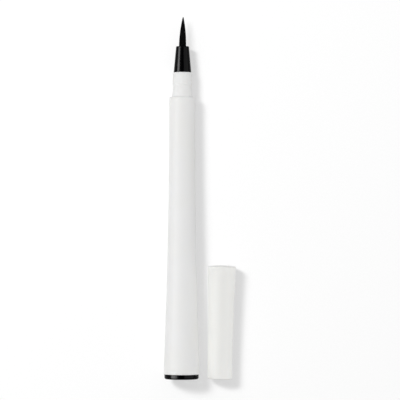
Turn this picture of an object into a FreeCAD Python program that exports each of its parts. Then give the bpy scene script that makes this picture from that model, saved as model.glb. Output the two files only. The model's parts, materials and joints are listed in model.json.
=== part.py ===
import FreeCAD, Part
import math
import os
import re
import Sketcher

# A liquid eyeliner pen with a fine brush tip, lying on a table with its cap taken off beside it.
# +Y runs along the pen from its tail to its brush, +Z is up and the table is at z = 0.
# Every piece is drawn upright about its own Z axis. The pieces of the pen count their heights
# from the tail face, and the pieces of the cap count them from the mouth of the cap.
# Ink is held in a wrapped fibre reservoir. A pointed wick carries it through the nozzle to the
# brush. The cap keeps the brush moist with a liner whose lip closes on the nozzle's cone.

os.makedirs("parts", exist_ok=True)
doc = FreeCAD.newDocument("EyelinerPen")
sheet = doc.addObject("Spreadsheet::Sheet", "Sizes")


# Driving dimensions, in millimetres and degrees, each with the place that it measures

DRIVING = (
    # Fits that several pieces share
    ("press_gap", 0.02, "radial gap of pieces pushed into each other"),
    ("slip_gap", 0.07, "radial gap of the cap over the neck"),
    # Brush, wick and the pieces that hold them
    ("wick_radius", 0.60, "feed wick"),
    ("wick_point_length", 2.2, "tapered point at each end of the wick"),
    ("wick_dip", 10.0, "wick inside the reservoir"),
    ("wick_rise", 4.2, "wick inside the brush"),
    ("bristle_layer", 0.58, "bristles around the wick"),
    ("brush_reach", 10.35, "brush in front of the nozzle"),
    ("brush_point_radius", 0.07, "blunt point of the brush"),
    ("root_width", 0.60, "brush root beyond the bristles"),
    ("root_thickness", 0.8, "fused root of the bristles"),
    ("root_notch_depth", 0.35, "air notch in the root and groove in the sleeve"),
    ("root_notch_width", 0.6, "width of the air notches and grooves"),
    ("sleeve_ledge", 0.5, "ledge in the collar under the sleeve"),
    # Nozzle
    ("brush_gap", 0.04, "air gap around the brush in the nozzle's lip"),
    ("nozzle_lip_wall", 1.03, "wall of the nozzle at its front face"),
    ("nozzle_lip_length", 4.5, "lip that grips the brush, from front face to root"),
    ("nozzle_length", 9.2, "visible cone of the nozzle"),
    ("nozzle_front_round", 0.3, "outer edge of the front face"),
    ("nozzle_setback", 0.26, "collar's edge beside the foot of the cone"),
    ("nozzle_stem_wall", 0.60, "wall of the stem behind the cone"),
    ("nozzle_stem_length", 8.0, "stem inside the collar"),
    ("nozzle_stem_spare", 0.4, "room behind the stem"),
    # Collar, which is the white neck that the cap slides over
    ("collar_wall", 0.74, "wall around the nozzle's stem"),
    ("neck_step", 0.16, "neck beyond the barrel's front bore"),
    ("neck_length", 8.8, "neck in front of the shoulder"),
    ("neck_chamfer", 0.25, "front edge of the neck"),
    ("neck_flare_width", 0.37, "flare of the neck at the shoulder"),
    ("neck_flare_length", 3.0, "length of that flare"),
    ("neck_bead_height", 0.08, "bead that holds the cap"),
    ("neck_bead_length", 1.0, "length of that bead"),
    ("neck_bead_place", 4.7, "from the shoulder to the middle of the bead"),
    ("collar_reach", 2.3, "collar behind the barrel's front bore"),
    ("snap_height", 0.12, "snap rings that hold collar and end plug"),
    ("snap_length", 1.0, "length of a snap ring"),
    ("snap_spare", 0.05, "room around a snap ring in its groove"),
    ("collar_snap_place", 5.0, "from the shoulder back to the collar's snap ring"),
    # Barrel
    ("grip_step", 0.45, "step in the bore behind the front bore"),
    ("barrel_wall", 0.93, "wall at the grip"),
    ("front_bore_length", 10.5, "bore that holds the collar"),
    ("nose_length", 1.0, "rounded nose in front of the grip"),
    ("nose_drop", 0.18, "radius lost over the nose"),
    ("grip_length", 10.0, "straight grip"),
    ("flare_length", 71.0, "curved flare from grip to tail taper"),
    ("taper_angle", 1.9, "half angle of the tail taper, in degrees"),
    ("tail_taper_length", 15.2, "straight taper at the tail"),
    ("tail_edge_round", 0.3, "edge around the tail end of the barrel"),
    ("tail_wall", 1.20, "wall around the end plug"),
    ("bore_draft", 0.15, "bore widening from the step to the middle of the flare"),
    ("plug_bore_step", 0.15, "step in the bore in front of the end plug"),
    ("rib_thickness", 0.6, "ribs that centre the reservoir"),
    ("rib_root", 0.3, "ribs sunk in the wall"),
    ("rib_gap", 0.08, "gap between ribs and reservoir"),
    # Reservoir
    ("reservoir_gap", 0.13, "gap around the reservoir at the front of the bore"),
    ("film_thickness", 0.1, "wrap around the fibre"),
    # End plug
    ("plug_head_length", 1.65, "visible head of the plug"),
    ("plug_setback", 0.22, "barrel's edge beside the head"),
    ("plug_head_round", 0.6, "outer edge of the head"),
    ("plug_stem_length", 7.2, "stem inside the barrel"),
    ("plug_stem_wall", 0.9, "wall of the stem"),
    ("plug_stem_chamfer", 0.35, "lead on the stem"),
    ("plug_floor", 1.2, "thickness of the head's face"),
    ("plug_snap_place", 3.4, "from the barrel's end to the plug's snap ring"),
    ("plug_bore_spare", 0.8, "plug bore beyond the stem"),
    ("pillar_radius", 1.4, "pillar that carries the reservoir"),
    ("pillar_reach", 0.5, "pillar beyond the plug bore"),
    # Cap
    ("cap_mouth_wall", 0.56, "wall of the cap at its mouth"),
    ("mouth_chamfer", 0.25, "outer edge of the mouth"),
    ("cap_straight_length", 6.0, "straight side at the mouth"),
    ("cap_flare_angle", 2.1, "half angle of the cap's side at its closed end, in degrees"),
    ("cap_edge_round", 0.25, "edge around the closed end"),
    ("cap_dome_rise", 0.4, "dome above that edge's centre line"),
    ("cap_bead_height", 0.08, "bead that snaps behind the neck's bead"),
    ("cap_bead_length", 0.8, "length of that bead"),
    ("seat_step", 0.20, "step in the bore in front of the liner's seat"),
    ("seat_lead", 0.6, "seat in front of the liner's lip"),
    ("cap_cavity_step", 0.55, "step that stops the liner"),
    ("cap_spare_length", 7.95, "empty cavity behind the liner"),
    ("cap_end_wall", 1.6, "thickness at the middle of the closed end"),
    # Liner inside the cap
    ("liner_start", 0.7, "from the foot of the nozzle's cone to the liner's lip"),
    ("liner_lead_length", 0.9, "tapered lead inside the lip"),
    ("liner_lead_width", 0.2, "width of that lead"),
    ("tip_room", 1.3, "room in front of the brush's tip"),
    ("liner_floor", 0.8, "closed end of the liner"),
    ("liner_round", 0.4, "outer edge of its closed end"),
    # How pen and cap lie on the table
    ("cap_side_gap", 2.9, "free space between barrel and cap"),
    ("cap_turn", 0.9, "cap turned away from the pen, in degrees"),
)

# Sizes that follow from the driving dimensions, in the order in which they are worked out

DERIVED = (
    # Radii from the wick outwards
    ("wick_hole_radius", "wick_radius + press_gap"),
    ("brush_radius", "wick_hole_radius + bristle_layer"),
    ("root_radius", "brush_radius + root_width"),
    ("lip_bore_radius", "brush_radius + brush_gap"),
    ("nozzle_front_radius", "lip_bore_radius + nozzle_lip_wall"),
    ("nozzle_bore_radius", "root_radius + press_gap"),
    ("nozzle_stem_radius", "nozzle_bore_radius + nozzle_stem_wall"),
    ("collar_bore_radius", "nozzle_stem_radius + press_gap"),
    ("collar_air_radius", "root_radius - sleeve_ledge"),
    ("collar_stem_radius", "collar_bore_radius + collar_wall"),
    ("front_bore_radius", "collar_stem_radius + press_gap"),
    ("neck_radius", "front_bore_radius + neck_step"),
    ("neck_flare_radius", "neck_radius + neck_flare_width"),
    ("neck_flare_arc", "(neck_flare_length ^ 2 + neck_flare_width ^ 2) / (2 * neck_flare_width)"),
    ("neck_bead_radius", "neck_radius + neck_bead_height"),
    ("nozzle_foot_radius", "neck_radius - nozzle_setback"),
    # Radii of the barrel
    ("step_bore_radius", "front_bore_radius + grip_step"),
    ("grip_radius", "step_bore_radius + barrel_wall"),
    ("nose_radius", "grip_radius - nose_drop"),
    ("nose_arc", "(nose_length ^ 2 + nose_drop ^ 2) / (2 * nose_drop)"),
    ("flare_arc", "flare_length / sin(taper_angle)"),
    ("flare_end_radius", "grip_radius + flare_length * tan(taper_angle / 2)"),
    ("taper_length", "tail_taper_length - tail_edge_round * sin(taper_angle)"),
    ("tail_radius", "flare_end_radius + taper_length * tan(taper_angle)"),
    ("tail_edge_radius", "tail_radius - tail_edge_round * cos(taper_angle)"),
    ("plug_bore_radius", "tail_radius - tail_wall"),
    ("tail_bore_radius", "plug_bore_radius - plug_bore_step"),
    ("middle_bore_radius", "step_bore_radius + bore_draft"),
    # Radii of reservoir and end plug
    ("film_radius", "step_bore_radius - reservoir_gap"),
    ("film_bore_radius", "film_radius - film_thickness"),
    ("fibre_radius", "film_bore_radius - press_gap"),
    ("rib_radius", "film_radius + rib_gap"),
    ("plug_head_radius", "tail_radius - plug_setback"),
    ("plug_stem_radius", "plug_bore_radius - press_gap"),
    ("plug_hollow_radius", "plug_stem_radius - plug_stem_wall"),
    # Heights above the tail face
    ("plug_stem_end", "plug_head_length + plug_stem_length"),
    ("plug_bore_end", "plug_stem_end + plug_bore_spare"),
    ("pillar_end", "plug_bore_end + pillar_reach"),
    ("plug_snap_middle", "plug_head_length + plug_snap_place"),
    ("taper_start", "plug_head_length + tail_edge_round * (1 + sin(taper_angle))"),
    ("flare_start", "taper_start + taper_length"),
    ("flare_middle", "flare_start + flare_length / 2"),
    ("grip_start", "flare_start + flare_length"),
    ("nose_start", "grip_start + grip_length"),
    ("shoulder", "nose_start + nose_length"),
    ("front_bore_start", "shoulder - front_bore_length"),
    ("collar_start", "front_bore_start - collar_reach"),
    ("collar_snap_middle", "shoulder - collar_snap_place"),
    ("neck_flare_end", "shoulder + neck_flare_length"),
    ("neck_bead_middle", "shoulder + neck_bead_place"),
    ("neck_end", "shoulder + neck_length"),
    ("nozzle_stem_start", "neck_end - nozzle_stem_length"),
    ("collar_floor", "nozzle_stem_start - nozzle_stem_spare"),
    ("nozzle_end", "neck_end + nozzle_length"),
    ("lip_start", "nozzle_end - nozzle_lip_length"),
    ("root_start", "lip_start - root_thickness"),
    ("wick_end", "lip_start + wick_rise"),
    ("wick_start", "collar_start - wick_dip"),
    ("brush_tip", "nozzle_end + brush_reach"),
    ("brush_drop", "brush_radius - brush_point_radius"),
    ("brush_arc", "(brush_reach ^ 2 + brush_drop ^ 2) / (2 * brush_drop)"),
    # Radii of the cap and its liner
    ("cap_bore_radius", "neck_bead_radius + slip_gap"),
    ("cap_lead_radius", "neck_flare_radius + slip_gap"),
    ("cap_mouth_radius", "cap_lead_radius + cap_mouth_wall"),
    ("cap_bead_radius", "cap_bore_radius - cap_bead_height"),
    ("seat_radius", "cap_bore_radius - seat_step"),
    ("cap_cavity_radius", "seat_radius - cap_cavity_step"),
    ("liner_radius", "seat_radius - press_gap"),
    ("cone_slope", "(nozzle_foot_radius - nozzle_front_radius) / nozzle_length"),
    ("seal_place", "liner_start + liner_lead_length"),
    ("liner_bore_radius", "nozzle_foot_radius - cone_slope * seal_place + press_gap"),
    ("liner_mouth_radius", "liner_bore_radius + liner_lead_width"),
    # Heights above the mouth of the cap
    ("cap_bead_middle", "neck_bead_place - (neck_bead_length + cap_bead_length) / 2"),
    ("liner_lip", "neck_length + liner_start"),
    ("seat_start", "liner_lip - seat_lead"),
    ("liner_seal", "neck_length + seal_place"),
    ("liner_bore_end", "neck_length + nozzle_length + brush_reach + tip_room"),
    ("liner_end", "liner_bore_end + liner_floor"),
    ("cap_cavity_end", "liner_end + cap_spare_length"),
    ("cap_length", "cap_cavity_end + cap_end_wall"),
    # Side, edge and dome of the cap, which meet smoothly
    ("cap_edge_middle", "cap_length - cap_edge_round - cap_dome_rise"),
    ("cap_flare_end", "cap_edge_middle - cap_edge_round * sin(cap_flare_angle)"),
    ("cap_flare_length", "cap_flare_end - cap_straight_length"),
    ("cap_flare_arc", "cap_flare_length / sin(cap_flare_angle)"),
    ("cap_end_radius", "cap_mouth_radius + cap_flare_length * tan(cap_flare_angle / 2)"),
    ("cap_edge_radius", "cap_end_radius - cap_edge_round * cos(cap_flare_angle)"),
    ("cap_inner_arc", "(cap_edge_radius ^ 2 + cap_dome_rise ^ 2) / (2 * cap_dome_rise)"),
    ("cap_dome_arc", "cap_inner_arc + cap_edge_round"),
    ("dome_turn", "asin(cap_edge_radius / cap_inner_arc)"),
    ("cap_dome_radius", "cap_dome_arc * sin(dome_turn)"),
    ("cap_dome_start", "cap_edge_middle + cap_edge_round * cos(dome_turn)"),
    # The pen touches the table at its tail edge and its nose, so its axis leans forward
    ("nose_centre", "grip_radius - nose_arc"),
    ("rest_length", "nose_start - plug_head_length - tail_edge_round"),
    ("rest_drop", "tail_edge_radius - nose_centre"),
    ("rest_reach", "sqrt(rest_length ^ 2 + rest_drop ^ 2)"),
    ("pen_lean", "atan(rest_drop / rest_length) + asin((tail_edge_round - nose_arc) / rest_reach)"),
    ("tail_rest", "(plug_head_length + tail_edge_round) * sin(pen_lean)"),
    ("pen_height", "tail_rest + tail_edge_radius * cos(pen_lean) + tail_edge_round"),
    # The cap touches the table at its mouth and at the edge of its closed end
    ("cap_rest_length", "cap_edge_middle - mouth_chamfer"),
    ("cap_rest_drop", "cap_edge_radius - cap_mouth_radius"),
    ("cap_rest_reach", "sqrt(cap_rest_length ^ 2 + cap_rest_drop ^ 2)"),
    ("cap_lean", "atan(cap_rest_drop / cap_rest_length) + asin(cap_edge_round / cap_rest_reach)"),
    ("cap_height", "cap_mouth_radius * cos(cap_lean) - mouth_chamfer * sin(cap_lean)"),
    # Pen and cap together are centred on the origin
    ("axis_gap", "tail_radius + cap_side_gap + cap_mouth_radius"),
    ("cap_swing", "cap_length * sin(cap_turn)"),
    ("whole_width", "tail_radius + axis_gap + cap_swing + cap_end_radius"),
    ("pen_side", "tail_radius - whole_width / 2"),
    ("cap_side", "pen_side + axis_gap"),
    ("pen_back", "-brush_tip * cos(pen_lean) / 2"),
    ("pen_tilt", "-(90 deg + pen_lean)"),
    ("cap_tilt", "-(90 deg - cap_lean)"),
    ("pen_spot", "vector(pen_side; pen_back; pen_height)"),
    ("cap_spot", "vector(cap_side; pen_back; cap_height)"),
    ("pen_place", "placement(pen_spot; rotation(vector(1; 0; 0); pen_tilt))"),
    ("cap_turned", "rotation(vector(0; 0; 1); -cap_turn) * rotation(vector(1; 0; 0); cap_tilt)"),
    ("cap_place", "placement(cap_spot; cap_turned)"),
)


def fill_sheet():
    """Write the driving dimensions as plain numbers and the derived ones as formulas."""
    row = 0
    for name, value, note in DRIVING:
        row += 1
        sheet.set(f"A{row}", name)
        sheet.set(f"B{row}", str(value))
        sheet.set(f"C{row}", note)
        sheet.setAlias(f"B{row}", name)
    for name, formula in DERIVED:
        row += 1
        sheet.set(f"A{row}", name)
        sheet.set(f"B{row}", "=" + formula)
        sheet.setAlias(f"B{row}", name)
    doc.recompute()


def in_sheet(formula):
    """The formula with each size's name pointed at the sheet."""
    return re.sub(r"\b([a-z]\w*)\b(?!\()", r"Sizes.\1", formula)


def value_of(formula):
    """The number that a formula of sheet names gives now."""
    result = sheet.evalExpression(in_sheet(formula))
    return float(getattr(result, "Value", result))


fill_sheet()


# Sketch helpers

def origin_plane(body, role):
    """One of the body's own three planes."""
    for feature in body.Origin.OriginFeatures:
        if feature.Role == role:
            return feature
    raise ValueError("no plane " + role)


def attached_sketch(body, name, role):
    """An empty sketch on one of the body's own planes."""
    sketch = body.newObject("Sketcher::SketchObject", name)
    sketch.AttachmentSupport = [(origin_plane(body, role), "")]
    sketch.MapMode = "FlatFace"
    return sketch


def bind(sketch, constraint, name, formula):
    """Add a measured constraint and tie it to the sheet."""
    number = sketch.addConstraint(constraint)
    sketch.renameConstraint(number, name)
    sketch.setExpression("Constraints." + name, in_sheet(formula))


def pin_point(sketch, piece, end, label, across, up):
    """Hold one end of a line or arc at a distance across and up from the sketch's origin."""
    if across == "0":
        sketch.addConstraint(Sketcher.Constraint("PointOnObject", piece, end, -2))
    else:
        held = Sketcher.Constraint("DistanceX", -1, 1, piece, end, value_of(across))
        bind(sketch, held, label + "_across", across)
    if up == "0":
        sketch.addConstraint(Sketcher.Constraint("PointOnObject", piece, end, -1))
    else:
        held = Sketcher.Constraint("DistanceY", -1, 1, piece, end, value_of(up))
        bind(sketch, held, label + "_up", up)


def arc_between(start, finish, radius, side):
    """The short arc between two points, its centre left (1) or right (-1) of the way there."""
    chord = finish - start
    across = FreeCAD.Vector(-chord.y, chord.x, 0).normalize()
    reach = math.sqrt(max(radius ** 2 - (chord.Length / 2) ** 2, 0))
    centre = (start + finish) / 2 + across * reach * side
    if side > 0:
        first, last = start - centre, finish - centre
    else:
        first, last = finish - centre, start - centre
    first_angle = math.atan2(first.y, first.x)
    last_angle = math.atan2(last.y, last.x)
    circle = Part.Circle(centre, FreeCAD.Vector(0, 0, 1), radius)
    return Part.ArcOfCircle(circle, first_angle, last_angle)


def draw_outline(sketch, corners):
    """Draw a closed outline. A corner is (across, up), and one that an arc leads to
    also gives the arc's radius and the side on which its centre lies."""
    places = [FreeCAD.Vector(value_of(corner[0]), value_of(corner[1]), 0) for corner in corners]
    pieces = []
    for index, corner in enumerate(corners):
        start = places[index - 1]
        finish = places[index]
        if len(corner) == 2:
            pieces.append((sketch.addGeometry(Part.LineSegment(start, finish)), 1, 2))
            continue
        arc = arc_between(start, finish, value_of(corner[2]), corner[3])
        ends = (1, 2) if corner[3] > 0 else (2, 1)
        pieces.append((sketch.addGeometry(arc), ends[0], ends[1]))
    for index, corner in enumerate(corners):
        piece, start_end, finish_end = pieces[index]
        after = pieces[(index + 1) % len(pieces)]
        joined = Sketcher.Constraint("Coincident", piece, finish_end, after[0], after[1])
        sketch.addConstraint(joined)
        pin_point(sketch, piece, finish_end, f"corner{index}", corner[0], corner[1])
        if len(corner) == 4:
            held = Sketcher.Constraint("Radius", piece, value_of(corner[2]))
            bind(sketch, held, f"arc{index}", corner[2])


def draw_bar(sketch, near, far, width):
    """A rectangle that lies across the X axis from near to far."""
    half = value_of(width) / 2
    near_x = value_of(near)
    far_x = value_of(far)
    corners = [
        FreeCAD.Vector(near_x, -half, 0),
        FreeCAD.Vector(far_x, -half, 0),
        FreeCAD.Vector(far_x, half, 0),
        FreeCAD.Vector(near_x, half, 0),
    ]
    for index, corner in enumerate(corners):
        sketch.addGeometry(Part.LineSegment(corner, corners[(index + 1) % len(corners)]))
    for index in range(len(corners)):
        after = (index + 1) % len(corners)
        sketch.addConstraint(Sketcher.Constraint("Coincident", index, 2, after, 1))
    for index, way in enumerate(("Horizontal", "Vertical", "Horizontal")):
        sketch.addConstraint(Sketcher.Constraint(way, index))
    sketch.addConstraint(Sketcher.Constraint("Symmetric", 0, 1, 2, 2, -1))
    bind(sketch, Sketcher.Constraint("DistanceX", -1, 1, 0, 1, near_x), "near", near)
    bind(sketch, Sketcher.Constraint("DistanceX", -1, 1, 0, 2, far_x), "far", far)
    bind(sketch, Sketcher.Constraint("DistanceY", 1, 1, 1, 2, 2 * half), "width", width)


# Feature helpers

def turned_body(label, corners, place):
    """A body turned from one outline about its own Z axis."""
    body = doc.addObject("PartDesign::Body", label)
    body.Label = label
    body.setExpression("Placement", "Sizes." + place)
    sketch = attached_sketch(body, label + "_outline", "XZ_Plane")
    draw_outline(sketch, corners)
    turn = body.newObject("PartDesign::Revolution", label + "_turned")
    turn.Profile = sketch
    turn.ReferenceAxis = (sketch, ["V_Axis"])
    turn.Angle = 360
    sketch.Visibility = False
    doc.recompute()
    return body


def rim(feature, radius, height):
    """The name of the feature's round edge with this radius at this height."""
    for number, edge in enumerate(feature.Shape.Edges, 1):
        if not isinstance(edge.Curve, Part.Circle):
            continue
        same_radius = abs(edge.Curve.Radius - value_of(radius)) < Part.Precision.confusion() * 10
        same_height = abs(edge.Curve.Center.z - value_of(height)) < Part.Precision.confusion() * 10
        if same_radius and same_height:
            return f"Edge{number}"
    raise ValueError(f"no rim of radius {radius} at {height}")


def round_rims(body, name, rims, size):
    """Round the body's edges named by (radius, height)."""
    base = body.Tip
    fillet = body.newObject("PartDesign::Fillet", name)
    fillet.Base = (base, [rim(base, radius, height) for radius, height in rims])
    fillet.setExpression("Radius", in_sheet(size))
    doc.recompute()


def chamfer_rims(body, name, rims, size):
    """Cut the body's edges named by (radius, height) at 45 degrees."""
    base = body.Tip
    chamfer = body.newObject("PartDesign::Chamfer", name)
    chamfer.Base = (base, [rim(base, radius, height) for radius, height in rims])
    chamfer.setExpression("Size", in_sheet(size))
    doc.recompute()


def repeat_around(body, feature, count):
    """Repeat one feature evenly about the body's Z axis."""
    pattern = body.newObject("PartDesign::PolarPattern", feature.Name + "_around")
    pattern.Originals = [feature]
    axis = next(part for part in body.Origin.OriginFeatures if part.Role == "Z_Axis")
    pattern.Axis = (axis, [""])
    pattern.Angle = 360
    pattern.Occurrences = count
    body.Tip = pattern
    doc.recompute()


def cut_channels(body, name, near, far, width, count):
    """Cut straight channels along the whole of a body, evenly about its axis."""
    before = body.Shape.Volume
    sketch = attached_sketch(body, name + "_outline", "XY_Plane")
    draw_bar(sketch, near, far, width)
    channel = body.newObject("PartDesign::Pocket", name)
    channel.Profile = sketch
    channel.Type = "ThroughAll"
    channel.Reversed = True
    sketch.Visibility = False
    doc.recompute()
    repeat_around(body, channel, count)
    if body.Shape.Volume >= before:
        raise ValueError(name + " cut nothing")


def ring_corners(radius, tip_radius, middle, length):
    """Three corners of a ring with a triangular section, in the order of rising height."""
    return [
        (radius, f"{middle} - {length} / 2"),
        (tip_radius, middle),
        (radius, f"{middle} + {length} / 2"),
    ]


# The pieces of the pen

AIR_CHANNELS = 3
RESERVOIR_RIBS = 6


def make_barrel():
    """White tapered shell with a collar bore in front and a plug bore at the tail."""
    spare = "snap_length + 2 * snap_spare"
    collar_groove = ring_corners(
        "front_bore_radius", "front_bore_radius + snap_height", "collar_snap_middle", f"({spare})")
    plug_groove = ring_corners(
        "plug_bore_radius", "plug_bore_radius + snap_height", "plug_snap_middle", f"({spare})")
    body = turned_body("barrel", [
        ("tail_edge_radius", "plug_head_length"),
        ("tail_radius", "taper_start", "tail_edge_round", 1),
        ("flare_end_radius", "flare_start"),
        ("grip_radius", "grip_start", "flare_arc", -1),
        ("grip_radius", "nose_start"),
        ("nose_radius", "shoulder", "nose_arc", 1),
        ("front_bore_radius", "shoulder"),
        *reversed(collar_groove),
        ("front_bore_radius", "front_bore_start"),
        ("step_bore_radius", "front_bore_start"),
        ("middle_bore_radius", "flare_middle"),
        ("tail_bore_radius", "plug_bore_end"),
        ("plug_bore_radius", "plug_bore_end"),
        *reversed(plug_groove),
        ("plug_bore_radius", "plug_head_length"),
    ], "pen_place")
    before = body.Shape.Volume
    sketch = attached_sketch(body, "rib_outline", "XZ_Plane")
    draw_outline(sketch, [
        ("rib_radius", "plug_bore_end"),
        ("tail_bore_radius + rib_root", "plug_bore_end"),
        ("middle_bore_radius + rib_root", "flare_middle"),
        ("rib_radius", "flare_middle"),
    ])
    rib = body.newObject("PartDesign::Pad", "rib")
    rib.Profile = sketch
    rib.SideType = "Symmetric"
    rib.setExpression("Length", in_sheet("rib_thickness"))
    sketch.Visibility = False
    doc.recompute()
    repeat_around(body, rib, RESERVOIR_RIBS)
    if body.Shape.Volume <= before:
        raise ValueError("the ribs add nothing to the barrel")
    return body


def make_end_plug():
    """Black plug that closes the tail, with a snap ring and a pillar under the reservoir."""
    body = turned_body("end_plug", [
        ("0", "0"),
        ("plug_head_radius", "0"),
        ("plug_head_radius", "plug_head_length"),
        ("plug_stem_radius", "plug_head_length"),
        *ring_corners(
            "plug_stem_radius", "plug_stem_radius + snap_height", "plug_snap_middle",
            "snap_length"),
        ("plug_stem_radius", "plug_stem_end - plug_stem_chamfer"),
        ("plug_stem_radius - plug_stem_chamfer", "plug_stem_end"),
        ("plug_hollow_radius", "plug_stem_end"),
        ("plug_hollow_radius", "plug_floor"),
        ("pillar_radius", "plug_floor"),
        ("pillar_radius", "pillar_end"),
        ("0", "pillar_end"),
    ], "pen_place")
    round_rims(body, "head_round", [("plug_head_radius", "0")], "plug_head_round")
    return body


def make_reservoir():
    """Fibre rod that holds the ink, with a hole for the wick in its front end."""
    return turned_body("reservoir", [
        ("0", "pillar_end"),
        ("fibre_radius", "pillar_end"),
        ("fibre_radius", "collar_start"),
        ("wick_hole_radius", "collar_start"),
        ("wick_hole_radius", "wick_start + wick_point_length"),
        ("0", "wick_start - press_gap"),
    ], "pen_place")


def make_reservoir_film():
    """Thin plastic wrap around the fibre, open at both ends."""
    return turned_body("reservoir_film", [
        ("film_bore_radius", "pillar_end"),
        ("film_radius", "pillar_end"),
        ("film_radius", "collar_start"),
        ("film_bore_radius", "collar_start"),
    ], "pen_place")


def make_front_collar():
    """White neck with a stem that snaps into the barrel and presses on the reservoir."""
    body = turned_body("front_collar", [
        ("collar_air_radius", "collar_start"),
        ("collar_stem_radius", "collar_start"),
        *ring_corners(
            "collar_stem_radius", "collar_stem_radius + snap_height", "collar_snap_middle",
            "snap_length"),
        ("collar_stem_radius", "shoulder"),
        ("neck_flare_radius", "shoulder"),
        ("neck_radius", "neck_flare_end", "neck_flare_arc", -1),
        *ring_corners("neck_radius", "neck_bead_radius", "neck_bead_middle", "neck_bead_length"),
        ("neck_radius", "neck_end"),
        ("collar_bore_radius", "neck_end"),
        ("collar_bore_radius", "collar_floor"),
        ("collar_air_radius", "collar_floor"),
    ], "pen_place")
    chamfer_rims(body, "neck_edge", [("neck_radius", "neck_end")], "neck_chamfer")
    return body


def make_nozzle():
    """Black cone that grips the brush, with a stem pushed into the collar."""
    body = turned_body("nozzle", [
        ("nozzle_bore_radius", "nozzle_stem_start"),
        ("nozzle_stem_radius", "nozzle_stem_start"),
        ("nozzle_stem_radius", "neck_end"),
        ("nozzle_foot_radius", "neck_end"),
        ("nozzle_front_radius", "nozzle_end"),
        ("lip_bore_radius", "nozzle_end"),
        ("lip_bore_radius", "lip_start"),
        ("nozzle_bore_radius", "lip_start"),
    ], "pen_place")
    round_rims(body, "front_round", [("nozzle_front_radius", "nozzle_end")], "nozzle_front_round")
    return body


def make_bristles():
    """Pointed brush, with a hollow in its middle for the wick."""
    return turned_body("bristles", [
        ("wick_hole_radius", "lip_start"),
        ("brush_radius", "lip_start"),
        ("brush_radius", "nozzle_end"),
        ("brush_point_radius", "brush_tip", "brush_arc", 1),
        ("0", "brush_tip"),
        ("0", "wick_end + press_gap"),
        ("wick_hole_radius", "wick_end - wick_point_length"),
    ], "pen_place")


def make_brush_root():
    """Disc of fused bristle ends that stops against the nozzle's lip, notched for air."""
    body = turned_body("brush_root", [
        ("wick_hole_radius", "root_start"),
        ("root_radius", "root_start"),
        ("root_radius", "lip_start"),
        ("wick_hole_radius", "lip_start"),
    ], "pen_place")
    cut_channels(
        body, "root_notch", "root_radius - root_notch_depth", "root_radius + root_notch_depth",
        "root_notch_width", AIR_CHANNELS)
    return body


def make_wick_sleeve():
    """Tube between the collar's floor and the brush root that holds the wick in line."""
    body = turned_body("wick_sleeve", [
        ("wick_hole_radius", "collar_floor"),
        ("root_radius", "collar_floor"),
        ("root_radius", "root_start"),
        ("wick_hole_radius", "root_start"),
    ], "pen_place")
    cut_channels(
        body, "air_groove", "root_radius - root_notch_depth", "root_radius + root_notch_depth",
        "root_notch_width", AIR_CHANNELS)
    return body


def make_feed_wick():
    """Thin rod, pointed at both ends, that carries ink from the reservoir into the brush."""
    return turned_body("feed_wick", [
        ("0", "wick_start"),
        ("wick_radius", "wick_start + wick_point_length"),
        ("wick_radius", "wick_end - wick_point_length"),
        ("0", "wick_end"),
    ], "pen_place")


# The pieces of the cap

def make_cap_shell():
    """White cap, widening towards its domed closed end, with a bead inside its mouth."""
    bead = ring_corners("cap_bore_radius", "cap_bead_radius", "cap_bead_middle", "cap_bead_length")
    return turned_body("cap_shell", [
        ("cap_lead_radius", "0"),
        ("cap_mouth_radius - mouth_chamfer", "0"),
        ("cap_mouth_radius", "mouth_chamfer"),
        ("cap_mouth_radius", "cap_straight_length"),
        ("cap_end_radius", "cap_flare_end", "cap_flare_arc", -1),
        ("cap_dome_radius", "cap_dome_start", "cap_edge_round", 1),
        ("0", "cap_length", "cap_dome_arc", 1),
        ("0", "cap_cavity_end"),
        ("cap_cavity_radius", "cap_cavity_end"),
        ("cap_cavity_radius", "liner_end"),
        ("seat_radius", "liner_end"),
        ("seat_radius", "seat_start"),
        ("cap_bore_radius", "seat_start"),
        *reversed(bead),
        ("cap_bore_radius", "neck_flare_length"),
    ], "cap_place")


def make_cap_liner():
    """Soft cup inside the cap whose lip closes on the nozzle's cone."""
    body = turned_body("cap_liner", [
        ("liner_mouth_radius", "liner_lip"),
        ("liner_radius", "liner_lip"),
        ("liner_radius", "liner_end"),
        ("0", "liner_end"),
        ("0", "liner_bore_end"),
        ("liner_bore_radius", "liner_bore_end"),
        ("liner_bore_radius", "liner_seal"),
    ], "cap_place")
    round_rims(body, "liner_end_round", [("liner_radius", "liner_end")], "liner_round")
    return body


PIECES = [
    make_barrel(),
    make_end_plug(),
    make_reservoir(),
    make_reservoir_film(),
    make_front_collar(),
    make_nozzle(),
    make_bristles(),
    make_brush_root(),
    make_wick_sleeve(),
    make_feed_wick(),
    make_cap_shell(),
    make_cap_liner(),
]
doc.recompute()


def check_document():
    """Stop if any object failed, or a piece is empty, broken or more than one solid."""
    for item in doc.Objects:
        if "Invalid" in item.State or "Error" in item.State:
            raise ValueError(item.Name + " failed")
    for piece in PIECES:
        shape = piece.Shape
        if shape.isNull() or not shape.isValid() or len(shape.Solids) != 1:
            raise ValueError(piece.Label + " is not one valid solid")


check_document()
for piece in PIECES:
    box = piece.Shape.optimalBoundingBox(False)
    piece.Shape.exportStep(os.path.join("parts", piece.Label + ".step"))
    print(f"{piece.Label:15s} volume {piece.Shape.Volume:9.2f}  "
          f"X {box.XMin:7.2f} {box.XMax:7.2f}  Y {box.YMin:7.2f} {box.YMax:7.2f}  "
          f"Z {box.ZMin:7.3f} {box.ZMax:7.3f}")
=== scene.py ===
# %% [markdown]
# # A liquid eyeliner pen with its cap off
# The pen lies on a pale table with its cap beside it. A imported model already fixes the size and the
# place of every piece, so this lesson adds only what the eye sees: smooth turned plastic shells, a
# brush of real filaments, the finish of each material, and soft studio light from above.

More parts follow.
